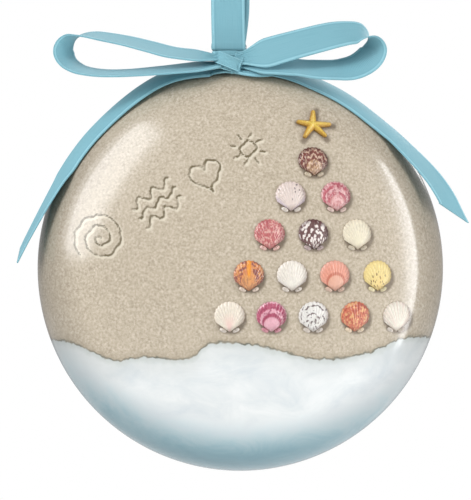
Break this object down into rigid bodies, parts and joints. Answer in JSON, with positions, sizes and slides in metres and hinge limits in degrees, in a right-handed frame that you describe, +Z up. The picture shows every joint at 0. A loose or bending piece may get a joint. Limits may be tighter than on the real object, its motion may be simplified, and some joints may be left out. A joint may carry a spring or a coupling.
{
  "type": "souvenir christmas ornament",
  "caption": "Flattened hollow ball ornament with a sand and surf print, a tree of raised scallops under a starfish, and a satin ribbon bow and hanging loop.",
  "frame": {"origin": "inside top of the hanging loop, where the hook or twig that holds it bears", "axes": "+Z up along the hanging loop, -Y towards the front of the ball, +X to the right seen from the front"},
  "size_m": [0.0831, 0.039, 0.1705],
  "materials": {
    "ribbon": "satin weave",
    "eye_wire": "bright drawn wire",
    "cap": "stamped, satin",
    "shell": "moulded",
    "front_print": "printed sand and surf under gloss lacquer",
    "rear_print": "printed sand and surf under gloss lacquer",
    "starfish": "golden yellow, lacquered",
    "scallop_1_1": "printed scallop, lacquered",
    "scallop_2_1": "printed scallop, lacquered",
    "scallop_2_2": "printed scallop, lacquered",
    "scallop_3_1": "printed scallop, lacquered",
    "scallop_3_2": "printed scallop, lacquered",
    "scallop_3_3": "printed scallop, lacquered",
    "scallop_4_1": "printed scallop, lacquered",
    "scallop_4_2": "printed scallop, lacquered",
    "scallop_4_3": "printed scallop, lacquered",
    "scallop_4_4": "printed scallop, lacquered",
    "scallop_5_1": "printed scallop, lacquered",
    "scallop_5_2": "printed scallop, lacquered",
    "scallop_5_3": "printed scallop, lacquered",
    "scallop_5_4": "printed scallop, lacquered",
    "scallop_5_5": "printed scallop, lacquered"
  },
  "bodies": {
    "hanger": {"hanging_ribbon": "ribbon"},
    "eye": {"eye_wire": "eye_wire"},
    "cap": {"cap": "cap", "bow_knot": "ribbon", "bow_loop_left": "ribbon", "bow_loop_right": "ribbon", "ribbon_tail_left": "ribbon", "ribbon_tail_right": "ribbon"},
    "ball": {"front_shell": "shell", "rear_shell": "shell", "front_print": "front_print", "rear_print": "rear_print", "starfish": "starfish", "scallop_1_1": "scallop_1_1", "scallop_2_1": "scallop_2_1", "scallop_2_2": "scallop_2_2", "scallop_3_1": "scallop_3_1", "scallop_3_2": "scallop_3_2", "scallop_3_3": "scallop_3_3", "scallop_4_1": "scallop_4_1", "scallop_4_2": "scallop_4_2", "scallop_4_3": "scallop_4_3", "scallop_4_4": "scallop_4_4", "scallop_5_1": "scallop_5_1", "scallop_5_2": "scallop_5_2", "scallop_5_3": "scallop_5_3", "scallop_5_4": "scallop_5_4", "scallop_5_5": "scallop_5_5"}
  },
  "joints": [
    {"name": "swing", "type": "hinge", "parent": "hanger", "child": "eye", "pos_m": [0, 0, -0.09], "axis": [1, 0, 0], "range_deg": [-35, 35]},
    {"name": "spin", "type": "hinge", "parent": "eye", "child": "cap", "pos_m": [0, 0, -0.0925], "axis": [0, 0, 1], "continuous": true},
    {"name": "cap_pull", "type": "slide", "parent": "cap", "child": "ball", "axis": [0, 0, -1], "range_m": [0, 0.009]}
  ]
}
